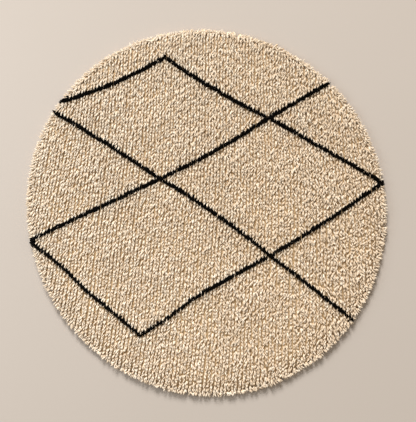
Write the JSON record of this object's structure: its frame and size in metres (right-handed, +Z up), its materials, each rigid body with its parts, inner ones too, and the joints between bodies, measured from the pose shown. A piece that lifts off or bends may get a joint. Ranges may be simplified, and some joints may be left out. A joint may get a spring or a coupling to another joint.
{
  "type": "round beni ourain rug",
  "caption": "Round hand-knotted shag rug with cream pile in rows, dark lozenge lines and loose locks of wool around its rim.",
  "frame": {"origin": "middle of the underside, on the floor", "axes": "+Z up out of the pile; the rows of tufts run along Y; the picture's top is +Y and its right is +X"},
  "size_m": [1.5146, 1.5416, 0.0277],
  "materials": {
    "cream_wool": "undyed wool yarn, dull, shaggy",
    "black_wool": "near-black wool yarn, dull, shaggy"
  },
  "bodies": {
    "root": {"rug": "cream_wool"}
  },
  "joints": []
}
